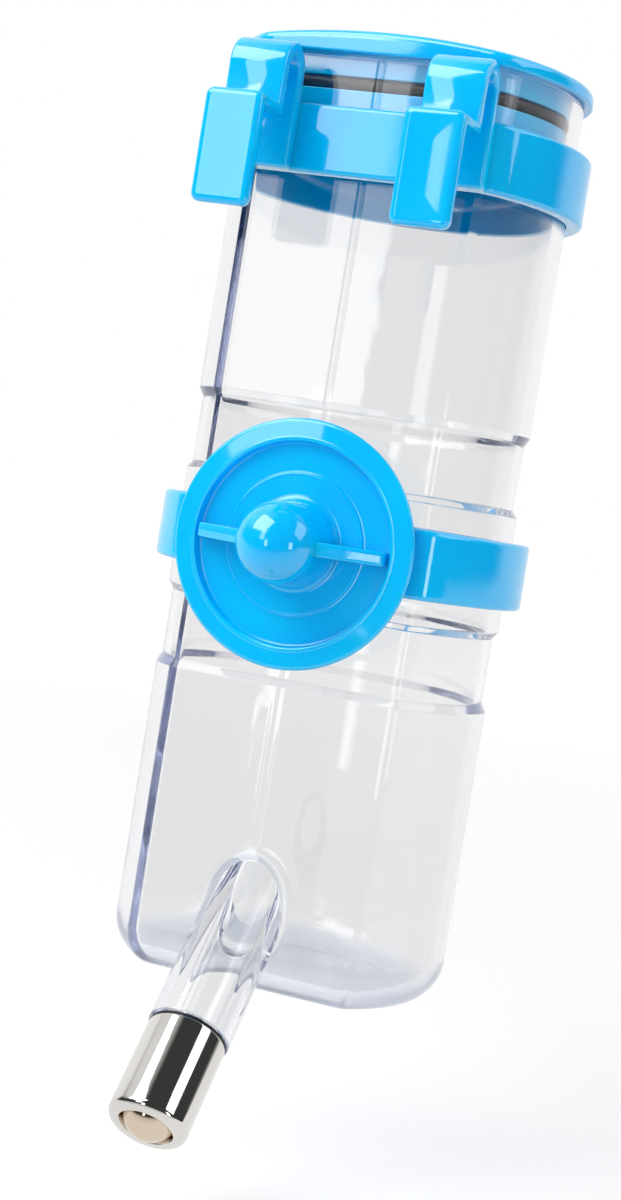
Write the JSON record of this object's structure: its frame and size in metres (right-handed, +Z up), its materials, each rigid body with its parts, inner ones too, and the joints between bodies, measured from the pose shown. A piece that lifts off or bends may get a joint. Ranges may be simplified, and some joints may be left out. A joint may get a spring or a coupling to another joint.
{
  "type": "pet water bottle",
  "caption": "Clear D-shaped water bottle for a pet cage, with a plug lid, wire hooks, a clamp band with a wing nut and a steel ball-valve spout.",
  "frame": {"origin": "centre of the hooks' half-round seats, midway between the two hooks", "axes": "+Z up along the bottle, +X along the hooks' seat from the left hook to the right one, -Y to the flat front, the spout and the cage"},
  "size_m": [0.0672, 0.0904, 0.1884],
  "materials": {
    "clear_plastic": "clear moulded plastic, glossy, with a faint blue edge",
    "blue_plastic": "bright sky blue, moulded, glossy",
    "black_rubber": "black seal rubber, satin",
    "polished_steel": "polished stainless steel",
    "ball_steel": "polished stainless steel ball",
    "spring_wire": "drawn spring wire"
  },
  "bodies": {
    "bottle": {"bottle_body": "clear_plastic", "hanger_collar": "blue_plastic", "clamp_band": "blue_plastic", "nozzle_gasket": "black_rubber", "nozzle_sleeve": "polished_steel", "ball_spring": "spring_wire"},
    "lid": {"lid": "blue_plastic", "lid_seal": "black_rubber"},
    "nut": {"locking_nut": "blue_plastic"},
    "ball": {"nozzle_ball": "ball_steel"}
  },
  "joints": [
    {"name": "lid_lift", "type": "slide", "parent": "bottle", "child": "lid", "axis": [0, 0, 1], "range_m": [0, 0.06]},
    {"name": "nut_turn", "type": "hinge", "parent": "bottle", "child": "nut", "pos_m": [0, 0.00435, -0.07815], "axis": [0, -1, 0], "range_deg": [0, 1170]},
    {"name": "ball_push", "type": "slide", "parent": "bottle", "child": "ball", "axis": [0, 0.7071, 0.7071], "range_m": [0, 0.0022], "stiffness_N_per_m": 150, "springref_m": -0.003, "deforming": ["ball_spring"]}
  ]
}
